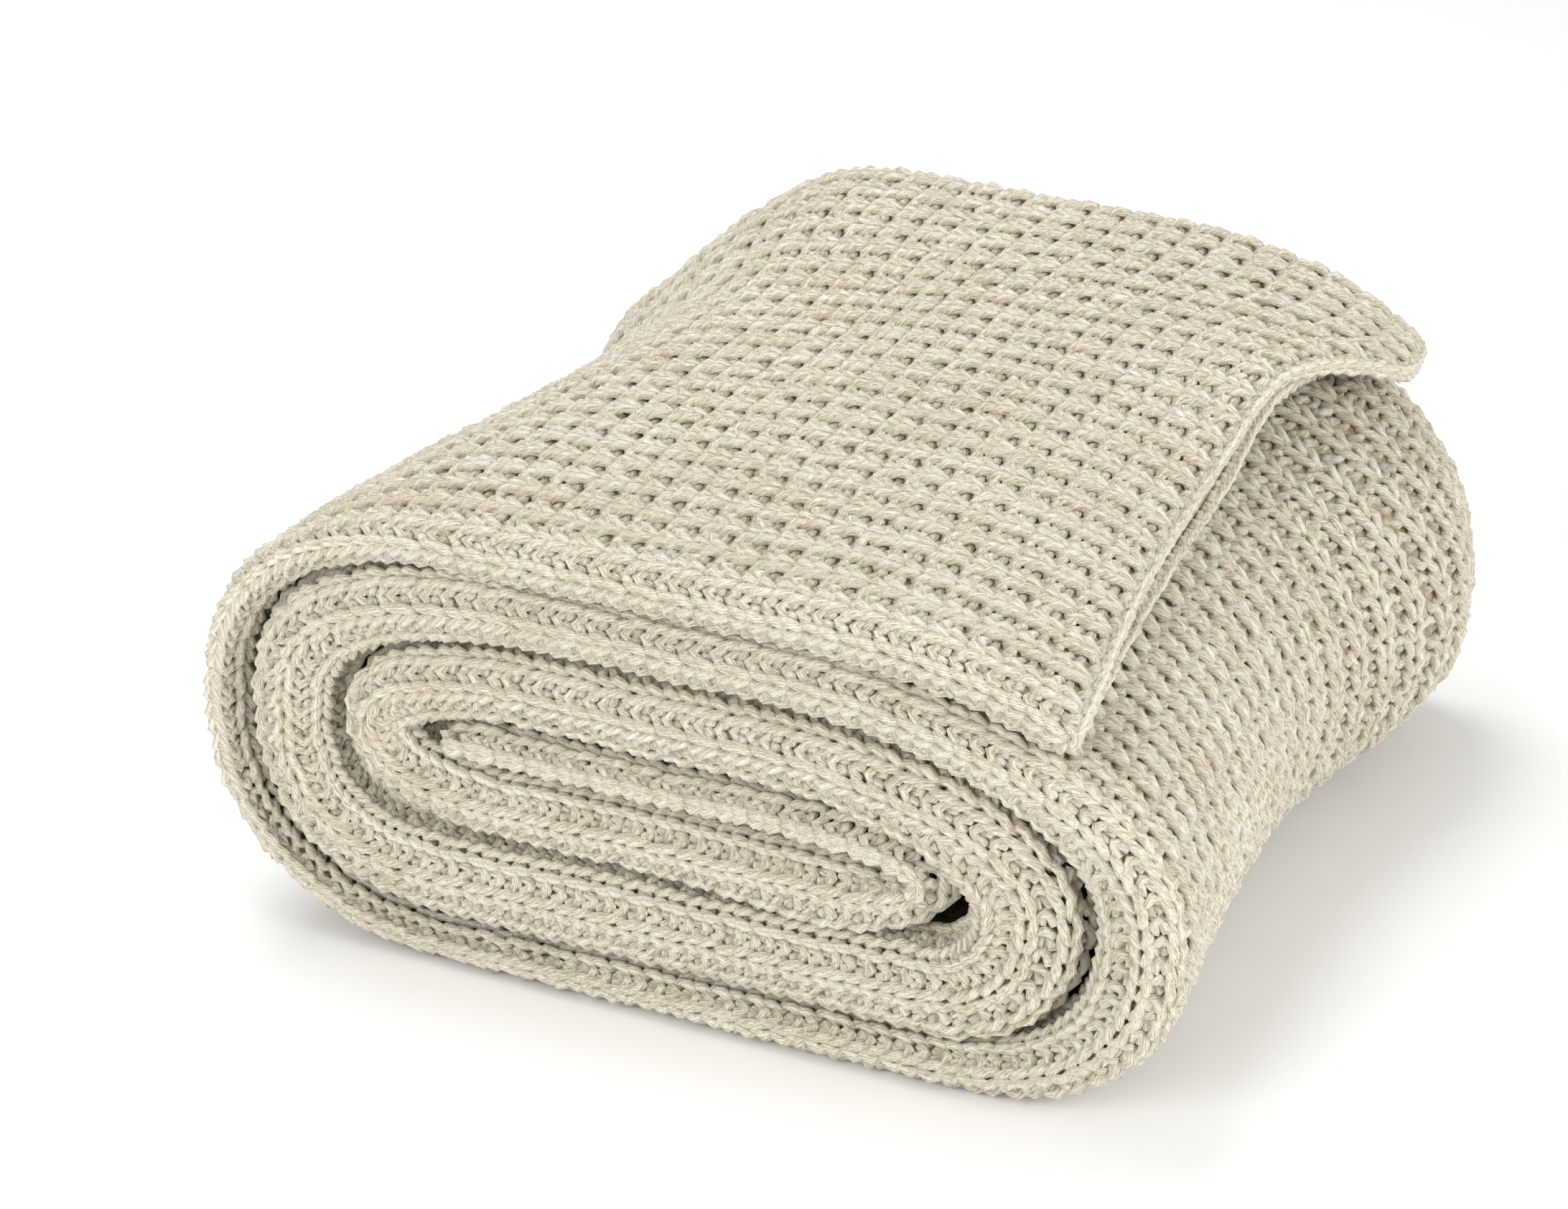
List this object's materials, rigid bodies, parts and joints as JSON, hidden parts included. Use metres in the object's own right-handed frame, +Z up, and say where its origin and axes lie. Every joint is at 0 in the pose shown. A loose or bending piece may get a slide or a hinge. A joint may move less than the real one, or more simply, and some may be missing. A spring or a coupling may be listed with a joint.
{
  "type": "throw blanket",
  "caption": "Thick ribbed knit throw, folded lengthwise and wound flat into a soft oblong roll with its free end lying over one side.",
  "frame": {"origin": "middle of the underside's footprint, on the surface it rests on", "axes": "+X across the roll towards the side where the free end lies, +Y from the front folds to the back edges, +Z up"},
  "size_m": [0.355, 0.333, 0.1715],
  "materials": {
    "knit": "soft plied yarn in a thick ribbed knit, matte"
  },
  "bodies": {
    "root": {"throw": "knit"}
  },
  "joints": []
}
